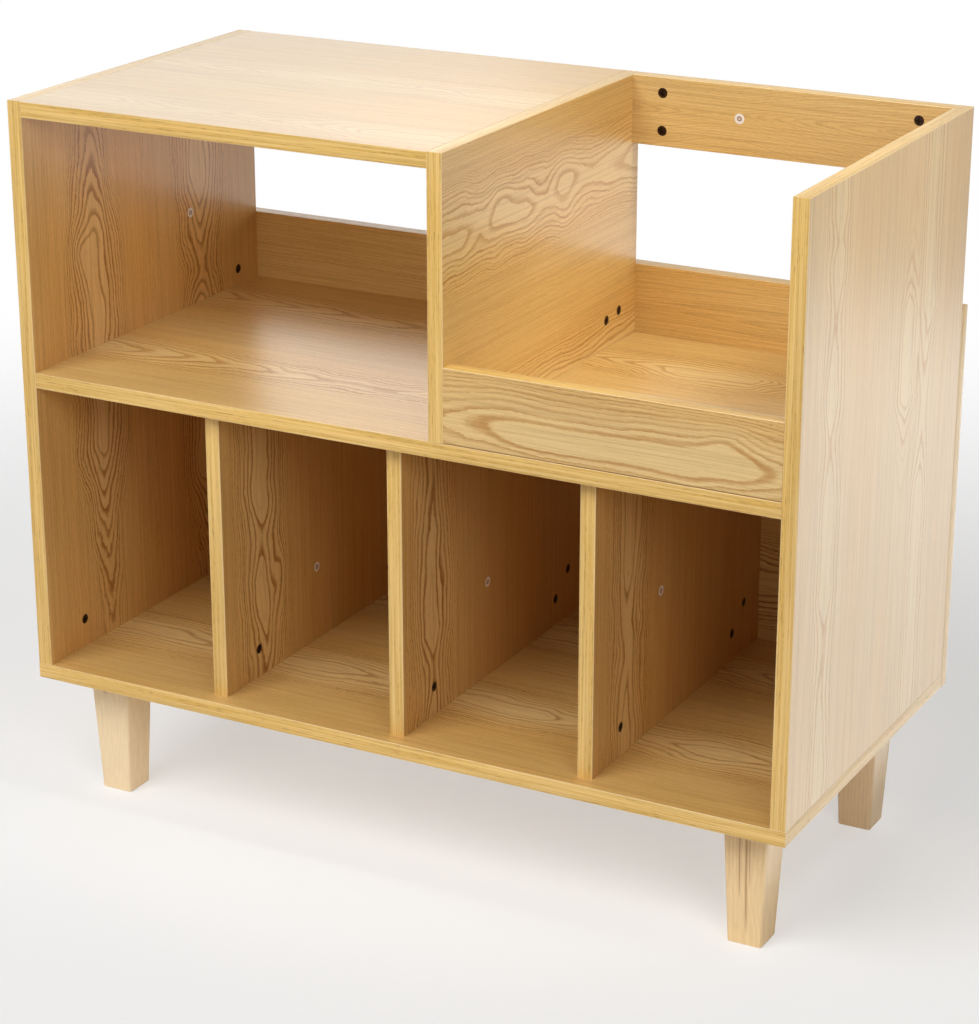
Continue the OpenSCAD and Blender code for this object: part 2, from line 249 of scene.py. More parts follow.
class NodeBench:
    """Builds one material from procedural nodes."""

    def __init__(self, name: str) -> None:
        """Starts a material with its surface shader.

        Args:
            name: the material's name.
        """
        self.material = bpy.data.materials.new(name)
        self.material.use_nodes = True
        self.tree = self.material.node_tree
        self.surface = self.tree.nodes["Principled BSDF"]

    def node(self, kind: str, **settings: object) -> bpy.types.Node:
        """Adds a node.

        Args:
            kind: its type.
            settings: its properties by name.

        Returns:
            The new node.
        """
        made = self.tree.nodes.new(kind)
        for name, value in settings.items():
            setattr(made, name, value)
        return made

    def feed(self, socket: bpy.types.NodeSocket, value: "Field | float | Color | Point") -> None:
        """Links a field to a socket, or sets the socket to a constant.

        Args:
            socket: the input.
            value: a field, a number, a vector or an opaque colour.
        """
        if isinstance(value, Field):
            self.tree.links.new(value.socket, socket)
        elif isinstance(value, tuple) and len(socket.default_value) == 4:
            socket.default_value = (*value, 1.0)
        else:
            socket.default_value = value

    def result(self, kind: str, inputs: dict[int | str, object], output: int | str = 0,
               **settings: object) -> Field:
        """Adds a node, feeds its inputs and takes one output.

        Args:
            kind: the node's type.
            inputs: fields or constants, by the number or name of the input.
            output: number or name of the output.
            settings: the node's properties by name.

        Returns:
            The output.
        """
        made = self.node(kind, **settings)
        for key, value in inputs.items():
            self.feed(made.inputs[key], value)
        return Field(self, made.outputs[output])

    def math(self, operation: str, *values: "Field | float") -> Field:
        """A Math node's result."""
        return self.result("ShaderNodeMath", dict(enumerate(values)), operation=operation)

    def ease(self, value: Field, low: float, high: float, start: float = 0.0, end: float = 1.0) -> Field:
        """Goes smoothly from start, where value is low, to end, where it is high."""
        inputs = dict(enumerate((value, low, high, start, end)))
        return self.result("ShaderNodeMapRange", inputs, interpolation_type="SMOOTHSTEP")

    def vector(self, x: "Field | float", y: "Field | float", z: "Field | float") -> Field:
        """A vector of three fields or numbers."""
        return self.result("ShaderNodeCombineXYZ", {0: x, 1: y, 2: z})

    def parts(self, vector: Field) -> tuple[Field, Field, Field]:
        """The three numbers of a vector."""
        first = self.result("ShaderNodeSeparateXYZ", {0: vector})
        return tuple(Field(self, socket) for socket in first.socket.node.outputs)

    def noise(self, vector: Field, detail: float = 1.0, roughness: float = 0.5) -> Field:
        """Smooth noise from 0 to 1 with a wavelength of about one unit of the vector."""
        inputs = {"Vector": vector, "Scale": 1.0, "Detail": detail, "Roughness": roughness}
        return self.result("ShaderNodeTexNoise", inputs, "Fac", noise_dimensions="3D")

    def wave(self, wave: Wave, along: Field, across: Field, seed: "Field | float" = 0.0) -> Field:
        """Noise of that kind from 0 to 1, with another seed added to its own."""
        at = self.vector(along / wave.along, across / wave.across, seed + wave.seed)
        return self.noise(at, wave.detail, wave.roughness)

    def sway(self, noise: Field, reach: float) -> Field:
        """Centres noise on zero, so that it goes about as far as reach each way."""
        return (noise - 0.5) * (2 * reach)

    def lot(self, value: Field) -> Field:
        """A random number from 0 to 1 for each whole value."""
        return self.result("ShaderNodeTexWhiteNoise", {"W": value}, "Value", noise_dimensions="1D")

    def mix(self, share: Field, first: "Field | Color", second: "Field | Color") -> Field:
        """Goes from the first colour, at share 0, to the second, at share 1."""
        return self.result("ShaderNodeMix", {"Factor": share, 6: first, 7: second}, 2, data_type="RGBA")

    def shade(self, color: Field, value: Field) -> Field:
        """Multiplies a colour by a number."""
        return self.result("ShaderNodeVectorMath", {0: color, "Scale": value}, operation="SCALE")

    def tinted(self, color: Field, tint: Color) -> Field:
        """Multiplies a colour by another, channel by channel."""
        return self.result("ShaderNodeVectorMath", {0: color, 1: tint}, operation="MULTIPLY")

    def in_millimetres(self, coordinates: str, shift: Point) -> Field:
        """Texture coordinates in millimetres.

        Args:
            coordinates: which of them.
            shift: what is taken from them, in metres.

        Returns:
            A vector.
        """
        source = Field(self, self.node("ShaderNodeTexCoord").outputs[coordinates])
        inputs = {"Vector": source, "Location": tuple(-v / MM for v in shift), "Scale": (1 / MM,) * 3}
        return self.result("ShaderNodeMapping", inputs)

    def object_place(self, shift: Point = (0.0, 0.0, 0.0)) -> Field:
        """Object coordinates in millimetres, less the shift, which is in metres."""
        return self.in_millimetres("Object", shift)

    def map_place(self) -> Field:
        """The piece's own UV map in millimetres."""
        return self.in_millimetres("UV", (0.0, 0.0, 0.0))

    def mark(self, name: str) -> Field:
        """A mark of the mesh, from 0 to 1."""
        return self.result("ShaderNodeAttribute", {}, "Fac", attribute_name=name)

    def finish(self, color: "Field | Color", roughness: "Field | float", bump: Field | None = None,
               depth: float = 0.0, **sockets: float) -> bpy.types.Material:
        """Sets the surface shader.

        Args:
            color: base colour.
            roughness: roughness.
            bump: height from 0 to 1.
            depth: height of the bump, in metres.
            sockets: other sockets by name, with _ for a space.

        Returns:
            The finished material.
        """
        self.feed(self.surface.inputs["Base Color"], color)
        self.feed(self.surface.inputs["Roughness"], roughness)
        for name, value in sockets.items():
            self.feed(self.surface.inputs[name.replace("_", " ")], value)
        if bump is not None:
            made = self.node("ShaderNodeBump")
            made.inputs["Distance"].default_value = depth
            self.feed(made.inputs["Height"], bump)
            self.tree.links.new(made.outputs["Normal"], self.surface.inputs["Normal"])
        return self.material


# ---------------------------------------------------------------- finishes


class Axis(Enum):
    """The frame's axes."""

    X = 0
    Y = 1
    Z = 2


@dataclass(frozen=True)
class Eye:
    """An innermost oval of the figure: its ends along the grain, and how soon half of the rings close."""

    low: float
    high: float
    below: float = 90.0
    above: float = 90.0


@dataclass(frozen=True)
class Knob:
    """A place where the lines bulge across the grain: its spot, its push and its size, in millimetres."""

    along: float
    across: float
    push: float
    length: float = 30.0
    width: float = 22.0


@dataclass(frozen=True)
class Heart:
    """A band of flat-sawn figure: its place across the grain and its eyes, in millimetres.

    It moves across by lean for each millimetre along the grain from about, and its growth layers
    rise to most.
    """

    across: float
    eyes: tuple[Eye, ...]
    lean: float = 0.0
    most: float = 75.0
    about: float = 0.0


@dataclass(frozen=True)
class Figure:
    """How the printed figure lies on a board: measured from the board's low corner, in millimetres.

    shown is the sign of the face that the hearts are placed for. wild scales how far the lines
    wander, pointed is the power that shapes the arches, and fall is where in a ring its line ends.
    strength scales the lines, which go down to faint over the distances in fades. ring is their
    colour, and tint goes over the whole board as painted light and shade: it makes each board
    lighter, darker or less orange for the light that falls where it stands.
    """

    along: Axis
    across: Axis
    through: Axis
    shown: int
    seed: float
    hearts: tuple[Heart, ...]
    knobs: tuple[Knob, ...] = ()
    wild: float = 1.0
    pointed: float = 1.6
    fall: float = 0.62
    strength: float = 1.0
    fades: tuple[float, float] = (46.0, 76.0)
    faint: float = 0.34
    ring: Color = (0.330, 0.130, 0.018)
    tint: Color = (1.0, 1.0, 1.0)


@dataclass(frozen=True)
class Laminate:
    """Satin board surface printed with ash figure. Lengths are in millimetres.

    Rings are ring_w wide at the heart, half of that at tight_at from it, and no narrower past
    tight_most. The side of a board that isn't shown has its figure moved by other_side.
    """

    pale: Color = (0.810, 0.580, 0.255)
    plain: Color = (0.715, 0.465, 0.168)
    warm: Color = (0.745, 0.460, 0.148)
    line: Color = (0.330, 0.130, 0.018)
    ring_w: float = 12.5
    tight_at: float = 34.0
    tight_most: float = 62.0
    eye_blend: float = 9.0
    heart_blend: float = 12.0
    other_side: float = 173.0
    other_seed: float = 2.3
    roughness: float = 0.30
    relief: float = 0.06
    calm: Slope = (20.0, 75.0, 1.0, 0.14)
    spacing: float = 0.7
    rise: Slope = (0.0, 0.13)
    fall_from: float = 0.14
    clear: Slope = (3.0, 9.0)
    drawn: Slope = (0.0, 0.8, 0.60, 1.0)
    patchy: Slope = (0.3, 0.6, 0.75, 1.0)
    pore_fibre: Slope = (0.58, 0.70)
    pore_grain: Slope = (0.45, 0.62)
    heartwood: Slope = (4.0, 64.0, 0.85, 0.0)
    warmth: Slope = (0.3, 0.7)
    dark_grain: Slope = (0.28, 0.60, 0.32, 0.0)
    pale_grain: Slope = (0.52, 0.80, 0.0, 0.34)
    fleck: Slope = (0.2, 0.8, 0.95, 1.05)
    bend: Wave = Wave(105, 62, 0.0, 17.0)
    twist: Wave = Wave(40, 25, 3.3, 4.5)
    ripple: Wave = Wave(13, 7, 5.1, 0.9)
    jag: Wave = Wave(5, 1.3, 9.3, 0.75, 0.0)
    patch: Wave = Wave(120, 26, 2.2)
    grain: Wave = Wave(180, 1.7, 4.4, detail=2.0, roughness=0.6)
    fibre: Wave = Wave(11, 0.7, 7.7)
    tone: Wave = Wave(420, 95, 6.1)

    def height(self, bench: NodeBench, heart: Heart, along: Field) -> Field:
        """Height of the growth layers over a heart.

        Formula: beyond each end of an eye the height is most * d / (d + reach), where d is the
        distance along the grain from that end. The smooth least value over the eyes is taken.

        Args:
            bench: the board's material.
            heart: the heart.
            along: place along the grain.

        Returns:
            The height, in millimetres.
        """
        least = None
        for eye in heart.eyes:
            above = (along - eye.high).math("MAXIMUM", 0.0)
            below = bench.math("SUBTRACT", eye.low, along).math("MAXIMUM", 0.0)
            rise = (above / (above + eye.above) + below / (below + eye.below)) * heart.most
            least = rise if least is None else least.math("SMOOTH_MIN", rise, self.eye_blend)
        return least

    def distance(self, bench: NodeBench, figure: Figure, along: Field, across: Field, seed: Field) -> Field:
        """Distance from the heart of the figure.

        Formula: for each heart the distance is (a**p + h**p)**(1/p), where a is the distance across
        the grain from the heart's line, h is the height of the growth layers and p makes the arches
        pointed. Noise of two sizes and a bell curve about each knob push the lines aside, less so
        away from the heart. The smooth least value over the hearts is taken, and noise of two
        finer sizes roughens it.

        Args:
            bench: the board's material.
            figure: the board's figure.
            along: place along the grain.
            across: place across it.
            seed: seed of this side of the board.

        Returns:
            The distance, in millimetres.
        """
        bend, twist, ripple, jag = (
            bench.sway(bench.wave(wave, along, across, seed), wave.reach * wild)
            for wave, wild in (
                (self.bend, figure.wild), (self.twist, figure.wild), (self.ripple, 1.0), (self.jag, 1.0),
            )
        )
        push = bend + twist
        for knob in figure.knobs:
            over, aside = (along - knob.along) / knob.length, (across - knob.across) / knob.width
            push = push + (-(over * over + aside * aside)).math("EXPONENT") * knob.push
        least = None
        for heart in figure.hearts:
            height = self.height(bench, heart, along + twist * 2.0)
            side = across - heart.across - (along - heart.about) * heart.lean
            calm = bench.ease(side.math("ABSOLUTE"), *self.calm)
            side = (side + push * calm).math("ABSOLUTE")
            powers = side.math("POWER", figure.pointed) + height.math("POWER", figure.pointed)
            far = powers.math("POWER", 1 / figure.pointed)
            least = far if least is None else least.math("SMOOTH_MIN", far, self.heart_blend)
        return least + ripple + jag

    def lines(self, bench: NodeBench, figure: Figure, far: Field, patch: Field, seed: Field) -> Field:
        """Strength of the growth lines.

        Formula: rings are counted out from the heart, and they get closer as the square of the
        distance, up to a limit. The count's fraction rises steeply to a line and falls slowly, and
        its whole part draws a strength for each ring. Lines fade away from the heart and in patches.

        Args:
            bench: the board's material.
            figure: the board's figure.
            far: distance from the heart.
            patch: noise that fades them in patches.
            seed: seed of this side of the board.

        Returns:
            The strength, from 0 to about 1.
        """
        near = far.math("MINIMUM", self.tight_most)
        most = 1 + (self.tight_most / self.tight_at) ** 2
        number = near + near * near * near / (3 * self.tight_at**2) + (far - near) * most
        number = number / self.ring_w
        number = number + bench.sway(bench.noise(bench.vector(number * 0.55, seed, 1.9)), self.spacing)
        phase = number.math("FRACT")
        dark = bench.lot(number.math("FLOOR") + seed * 13.7)
        rise = bench.ease(phase, *self.rise)
        fall = bench.ease(phase, self.fall_from, figure.fall, 1.0, 0.0)
        fade = bench.ease(far, *figure.fades, 1.0, figure.faint) * bench.ease(far, *self.clear)
        line = rise * fall * fade * bench.ease(dark, *self.drawn)
        return line * bench.ease(patch, *self.patchy) * figure.strength

    def build(self, name: str, figure: Figure, low: Point, thickness: float) -> bpy.types.Material:
        """The finish of one board.

        Args:
            name: the board.
            figure: the board's figure.
            low: the board's low corner, in metres.
            thickness: the board's thickness, in metres.

        Returns:
            The material.
        """
        bench = NodeBench(name + "_laminate")
        place = bench.parts(bench.object_place(low))
        along, across, through = (place[axis.value] for axis in (figure.along, figure.across, figure.through))
        other = ((through - thickness / MM / 2) * -figure.shown).math("GREATER_THAN", 0.0)
        along = along + other * self.other_side
        seed = other * self.other_seed + figure.seed
        far = self.distance(bench, figure, along, across, seed)
        patch, grain, fibre, tone = (
            bench.wave(wave, along, across, seed) for wave in (self.patch, self.grain, self.fibre, self.tone)
        )
        line = self.lines(bench, figure, far, patch, seed)
        pores = bench.ease(fibre, *self.pore_fibre) * bench.ease(grain + line * 0.25, *self.pore_grain)
        color = bench.mix(bench.ease(tone, *self.warmth), self.plain, self.warm)
        color = bench.mix(bench.ease(far, *self.heartwood), color, self.pale)
        color = bench.mix(line, color, figure.ring)
        color = bench.mix(pores * 0.34, color, self.line)
        color = bench.mix(bench.ease(grain, *self.dark_grain), color, self.line)
        color = bench.mix(bench.ease(grain, *self.pale_grain), color, self.pale)
        # painted light and shade: the board's tint lightens or darkens it for the light where it stands
        color = bench.tinted(color, figure.tint)
        color = bench.shade(color, bench.ease(fibre, *self.fleck))
        rough = bench.ease(fibre - line * 0.2, -0.3, 0.8, self.roughness + 0.14, self.roughness - 0.02)
        height = fibre * 0.6 + grain * 0.4 - pores * 0.5
        return bench.finish(color, rough, height, self.relief * MM, IOR=1.6)


@dataclass(frozen=True)
class EdgeFilm:
    """Straight-grained film of the edge strips, with a painted highlight: a paler colour on the rounded
    arris.
    """

    straw: Color = (0.830, 0.560, 0.205)
    honey: Color = (0.690, 0.410, 0.090)
    dash: Color = (0.420, 0.220, 0.050)
    # painted highlight: the paler colour laid on the rounded arrises
    arris: Color = (0.860, 0.680, 0.430)
    streak: Wave = Wave(160, 1.6, 0.5, detail=2.0, roughness=0.55)
    short: Wave = Wave(11, 0.8, 7.5)
    tone: Wave = Wave(260, 12, 3.5)
    dash_short: Slope = (0.57, 0.68)
    dash_streak: Slope = (0.40, 0.62)
    honeyed: Slope = (0.32, 0.66)
    light: Slope = (0.3, 0.7, 0.94, 1.05)
    rough: Slope = (0.3, 0.7, 0.30, 0.38)
    relief: float = 0.04

    def build(self) -> bpy.types.Material:
        """The one finish of every edge strip.

        Returns:
            The material.
        """
        bench = NodeBench("edge_film")
        along, across, _ = bench.parts(bench.map_place())
        streak, short, tone = (
            bench.wave(wave, along, across) for wave in (self.streak, self.short, self.tone)
        )
        dashes = bench.ease(short, *self.dash_short) * bench.ease(streak, *self.dash_streak)
        color = bench.mix(bench.ease(streak, *self.honeyed), self.straw, self.honey)
        color = bench.mix(dashes * 0.75, color, self.dash)
        color = bench.shade(color, bench.ease(tone, *self.light))
        # painted highlight: the arris mark lays a paler colour along the rounded arrises
        color = bench.mix(bench.mark("arris") * 0.7, color, self.arris)
        rough = bench.ease(short, *self.rough)
        return bench.finish(color, rough, short - dashes * 0.6, self.relief * MM, IOR=1.5)


@dataclass(frozen=True)
class Knot:
    """A small knot in a leg: its centre in metres and its radius in millimetres."""

    centre: Point
    radius: float


@dataclass(frozen=True)
class Streak:
    """A dark line down a leg: its X in metres, its width in millimetres, and where it fades, in metres."""

    x: float
    width: float
    fades: float


@dataclass(frozen=True)
class Timber:
    """One leg's wood: its seed, plain colour (partly painted light on the front-left leg), strength of the
    growth lines, knots and streaks.
    """

    seed: float
    sap: Color
    strength: float
    knots: tuple[Knot, ...] = ()
    streaks: tuple[Streak, ...] = ()


@dataclass(frozen=True)
class Pine:
    """Clear-lacquered pine of the legs, with growth lines that bend round knots. Lengths in millimetres."""

    band: Color = (0.760, 0.490, 0.240)
    knot: Color = (0.430, 0.210, 0.085)
    line_w: float = 5.2
    slant: tuple[float, float] = (0.94, 0.34)
    bend: float = 11.0
    wobble: float = 0.6
    knot_squash: float = 0.6
    streak_fade: float = 40.0
    late_rise: Slope = (0.25, 0.88)
    late_fall: Slope = (0.90, 1.0, 1.0, 0.0)
    patchy: Slope = (0.3, 0.7, 0.4, 1.0)
    light: Slope = (0.2, 0.8, 0.93, 1.05)
    rough: Slope = (0.2, 0.8, 0.32, 0.42)
    relief: float = 0.12

    def build(self, name: str, timber: Timber) -> bpy.types.Material:
        """The finish of one leg.

        Formula of the lines: the slanted distance through the leg, bent by slow noise and by a
        bump that falls with the distance from each knot, in steps of the line width. A streak is
        a bell curve about its own X, which fades towards the floor.

        Args:
            name: the leg.
            timber: the leg's own wood.

        Returns:
            The material.
        """
        bench = NodeBench(name + "_pine")
        seed = timber.seed
        x, y, z = bench.parts(bench.object_place())
        bend = bench.sway(bench.noise(bench.vector(x / 45 + seed, y / 45, z / 170)), self.bend)
        side = x * self.slant[0] + y * self.slant[1] + bend
        heart = None
        for knot in timber.knots:
            cx, cy, cz = (v / MM for v in knot.centre)
            ends = {0: bench.vector(x, y, z * self.knot_squash), 1: (cx, cy, cz * self.knot_squash)}
            far = bench.result("ShaderNodeVectorMath", ends, "Value", operation="DISTANCE")
            side = side + bench.ease(far, 0.0, 4 * knot.radius, 1.6 * knot.radius, 0.0)
            core = bench.ease(far, 0.45 * knot.radius, 1.05 * knot.radius, 1.0, 0.0)
            heart = core if heart is None else heart.math("MAXIMUM", core)
        number = side / self.line_w + bench.sway(bench.noise(bench.vector(side / 9, seed, 0.3)), self.wobble)
        phase = number.math("FRACT")
        late = bench.ease(phase, *self.late_rise) * bench.ease(phase, *self.late_fall)
        fibre = bench.noise(bench.vector(x / 0.9 + seed, y / 0.9, z / 26))
        tone = bench.noise(bench.vector(x / 60, y / 60 + seed, z / 120))
        late = late * bench.ease(tone, *self.patchy) * timber.strength
        color = bench.mix(late, timber.sap, self.band)
        for streak in timber.streaks:
            off = (x - streak.x / MM + bend * 0.12) / streak.width
            fades = streak.fades / MM
            dark = (-(off * off)).math("EXPONENT") * bench.ease(z, fades - self.streak_fade, fades)
            color = bench.mix(dark * 0.75, color, self.knot)
        if heart is not None:
            color = bench.mix(heart * 0.5, color, self.knot)
        color = bench.shade(color, bench.ease(fibre, *self.light))
        rough = bench.ease(fibre, *self.rough)
        return bench.finish(color, rough, fibre * 0.5 + late * 0.5, self.relief * MM, IOR=1.45)


@dataclass(frozen=True)
class Steel:
    """Plated or cast metal with fine marks and patches of grime, whose sizes are in millimetres."""

    name: str
    tint: Color
    roughness: float
    metallic: float = 1.0
    grime: Color = (0.02, 0.015, 0.012)
    mark: float = 0.6
    stain: float = 5.0
    grimy: Slope = (0.45, 0.8, 0.0, 0.35)
    relief: float = 0.03

    def build(self) -> bpy.types.Material:
        """The finish.

        Returns:
            The material.
        """
        bench = NodeBench(self.name)
        x, y, z = bench.parts(bench.object_place())
        marks = bench.noise(bench.vector(x / self.mark, y / self.mark, z / self.mark), 3.0, 0.6)
        stain = bench.noise(bench.vector(x / self.stain, y / self.stain, z / self.stain), 2.0)
        color = bench.mix(bench.ease(stain, *self.grimy), self.tint, self.grime)
        rough = bench.ease(marks, 0.3, 0.7, self.roughness - 0.06, self.roughness + 0.08)
        return bench.finish(color, rough, marks, self.relief * MM, Metallic=self.metallic)


@dataclass(frozen=True)
class DowelBeech:
    """Flecked beech of the dowels. Lengths are in millimetres."""

    pale: Color = (0.740, 0.560, 0.360)
    fleck: Color = (0.520, 0.330, 0.180)
    fleck_l: float = 1.2
    flecked: Slope = (0.45, 0.75)
    rough: Slope = (0.2, 0.8, 0.55, 0.7)
    relief: float = 0.1

    def build(self) -> bpy.types.Material:
        """The finish.

        Returns:
            The material.
        """
        bench = NodeBench("dowel_beech")
        x, y, z = bench.parts(bench.object_place())
        flecks = bench.noise(bench.vector(x / self.fleck_l, y / self.fleck_l, z / self.fleck_l), 2.0)
        color = bench.mix(bench.ease(flecks, *self.flecked), self.pale, self.fleck)
        return bench.finish(color, bench.ease(flecks, *self.rough), flecks, self.relief * MM)


@dataclass(frozen=True)
class LabelPaper:
    """White paper disc with a plain printed ring. Lengths are in millimetres."""

    paper: Color = (0.86, 0.79, 0.72)
    middle: Color = (0.66, 0.52, 0.41)
    ink: Color = (0.24, 0.14, 0.10)
    ring_r: float = 2.3
    ring_w: float = 1.0
    blur: float = 0.3
    rim_blur: float = 1.2
    pulp_l: float = 0.5
    printed: Slope = (0.2, 0.6, 0.7, 1.0)
    rough: Slope = (0.2, 0.8, 0.5, 0.65)
    relief: float = 0.02

    def build(self) -> bpy.types.Material:
        """The finish. Its UV map is centred on the disc, so the ring is a distance from zero.

        Returns:
            The material.
        """
        bench = NodeBench("label_paper")
        x, y, _ = bench.parts(bench.map_place())
        far = (x * x + y * y).math("SQRT")
        off, half = (far - self.ring_r).math("ABSOLUTE"), self.ring_w / 2
        ink = bench.ease(off, half, half + self.blur, 1.0, 0.0)
        pulp = bench.noise(bench.vector(x / self.pulp_l, y / self.pulp_l, 1.0), 3.0, 0.6)
        color = bench.mix(bench.ease(far, self.ring_r, self.ring_r + self.rim_blur), self.middle, self.paper)
        color = bench.mix(ink * bench.ease(pulp, *self.printed), color, self.ink)
        return bench.finish(color, bench.ease(pulp, *self.rough), pulp, self.relief * MM)


# ---------------------------------------------------------------- sub-assemblies


Shape = float | tuple[float, ...]


def upright(seed: float, hearts: tuple[Heart, ...], knobs: tuple[Knob, ...] = (), **shape: Shape) -> Figure:
    """Figure of a side or slot divider: grain up, seen on its right face."""
    return Figure(Axis.Z, Axis.Y, Axis.X, 1, seed, hearts, knobs, **shape)


def flat(seed: float, hearts: tuple[Heart, ...], knobs: tuple[Knob, ...] = (), **shape: Shape) -> Figure:
    """Figure of a level board: grain across the stand, seen on its top."""
    return Figure(Axis.X, Axis.Y, Axis.Z, 1, seed, hearts, knobs, **shape)


def strut(seed: float, hearts: tuple[Heart, ...], knobs: tuple[Knob, ...] = (), **shape: Shape) -> Figure:
    """Figure of a board that faces the front: grain across the stand, seen on its front."""
    return Figure(Axis.X, Axis.Z, Axis.Y, -1, seed, hearts, knobs, **shape)


@dataclass
class Boards:
    """The cores of the boards, which stay as the CAD made them and get their printed figure."""

    laminate: Laminate = Laminate()
    # Each tint is painted light and shade: the slot dividers grow darker from left to right as painted shade,
    # and the shelf, back, rail, centre divider and left side are made paler as painted light.
    figures: dict[str, Figure] = field(default_factory=lambda: {
        "left_side_panel": upright(
            11.0,
            (
                Heart(122, (Eye(240, 470, 85, 110),)),
                Heart(342, (Eye(150, 340, 90, 60), Eye(505, 660, 110, 90))),
            ),
            (Knob(478, 92, 16, 26, 22), Knob(300, 84, -10, 90, 16)), tint=(1.07, 1.00, 0.98),
        ),
        "right_side_panel": upright(
            23.0,
            (
                Heart(82, (
                    Eye(640, 760, 40), Eye(576, 590, 50, 30), Eye(440, 452, 40, 90), Eye(240, 340, 50, 60),
                    Eye(-60, 40, 90, 140),
                ), most=34),
                Heart(352, (Eye(480, 720, 70), Eye(-90, 262, 60, 60)), 0.0, 46),
                Heart(296, (Eye(392, 480, 50, 60),), 0.0, 60),
            ),
            (Knob(470, 372, -14, 26, 30),), wild=0.5, strength=0.8, fades=(27.0, 47.0), faint=0.12,
            ring=(0.600, 0.270, 0.035),
        ),
        "centre_divider": Figure(
            Axis.Y, Axis.Z, Axis.X, 1, 31.0,
            (
                Heart(216, (
                    Eye(-40, 42, 60, 50), Eye(120, 186, 40, 50), Eye(274, 286, 40, 55), Eye(470, 560, 130),
                ), most=44),
                Heart(-16, (Eye(60, 560, 200, 60),)),
            ),
            (Knob(135, 243, -14, 22, 20),), ring=(0.500, 0.210, 0.025), tint=(1.02, 1.06, 1.06),
        ),
        "slot_divider_1": upright(
            41.0,
            (
                Heart(80, (Eye(76, 118, 50, 50), Eye(215, 330, 50, 60)), most=38),
            ),
            # painted shade: the slot dividers' tints grow darker from left to right
            (Knob(104, 122, -14, 30, 20),), tint=(1.00, 0.95, 0.91),
        ),
        "slot_divider_2": upright(
            53.0,
            (
                Heart(66, (Eye(104, 130, 50, 230), Eye(-80, -10)), most=40),
            ),
            tint=(0.98, 0.91, 0.88),
        ),
        "slot_divider_3": upright(
            61.0,
            (
                Heart(84, (Eye(214, 330, 50, 60), Eye(-60, 10, 60, 120)), most=38),
            ),
            tint=(0.96, 0.89, 0.86),
        ),
        "base_panel": flat(
            71.0,
            (
                Heart(146, (
                    Eye(-60, 60, 90, 160), Eye(268, 312, 60, 90), Eye(530, 590, 130, 40),
                    Eye(790, 812, 60, 110),
                ), most=36),
                Heart(372, (Eye(60, 200, 60, 160), Eye(430, 560, 160, 90), Eye(800, 860)), -0.01, 48),
            ),
        ),
        "middle_shelf": flat(
            83.0,
            (
                Heart(128, (Eye(-260, 10, 60, 230), Eye(640, 745, 200, 60)), 0.02),
                Heart(372, (Eye(-260, -30, 60, 330), Eye(650, 728, 160, 45)), -0.03),
            ),
            # painted light: this tint brightens the shelf for the light from above
            strength=1.25, ring=(0.450, 0.190, 0.022), tint=(1.08, 1.14, 1.16),
        ),
        "top_panel": flat(
            97.0,
            (
                Heart(268, (Eye(170, 330, 110, 60), Eye(430, 700, 90)), most=52),
                Heart(52, (Eye(-90, 60, 60, 160), Eye(430, 700, 120, 60))),
            ),
            strength=0.6, ring=(0.580, 0.270, 0.050),
        ),
        "back_panel": strut(
            101.0,
            (
                Heart(90, (Eye(200, 330, 160), Eye(700, 860, 130)), most=60),
                Heart(250, (Eye(-90, 120, 60, 200), Eye(560, 640, 60, 160))),
                Heart(560, (Eye(380, 520, 150, 150),)),
            ),
            tint=(1.08, 1.14, 1.18),
        ),
        "upper_back_rail": strut(
            113.0, (Heart(-70, (Eye(100, 140),)), Heart(160, (Eye(60, 130),))), tint=(1.0, 1.07, 1.18),
        ),
        "front_lip": strut(
            127.0, (Heart(25, (Eye(111, 330, 200, 120),), most=60),), (Knob(322, 52, -12, 26, 20),),
            wild=0.5, pointed=2.2, strength=0.85, ring=(0.480, 0.210, 0.030),
        ),
    })

    def dress_all(self) -> None:
        """Gives each board its own laminate, measured from that board's low corner."""
        for node, figure in self.figures.items():
            low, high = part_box(node)
            thickness = (high - low)[figure.through.value]
            dress(node, self.laminate.build(node, figure, tuple(low), thickness))


class Edge(Enum):
    """The edges of a board that can carry a strip: axis of the edge's outward direction, and its sign."""

    LEFT = (0, -1)
    RIGHT = (0, 1)
    FRONT = (1, -1)
    REAR = (1, 1)
    BOTTOM = (2, -1)
    TOP = (2, 1)


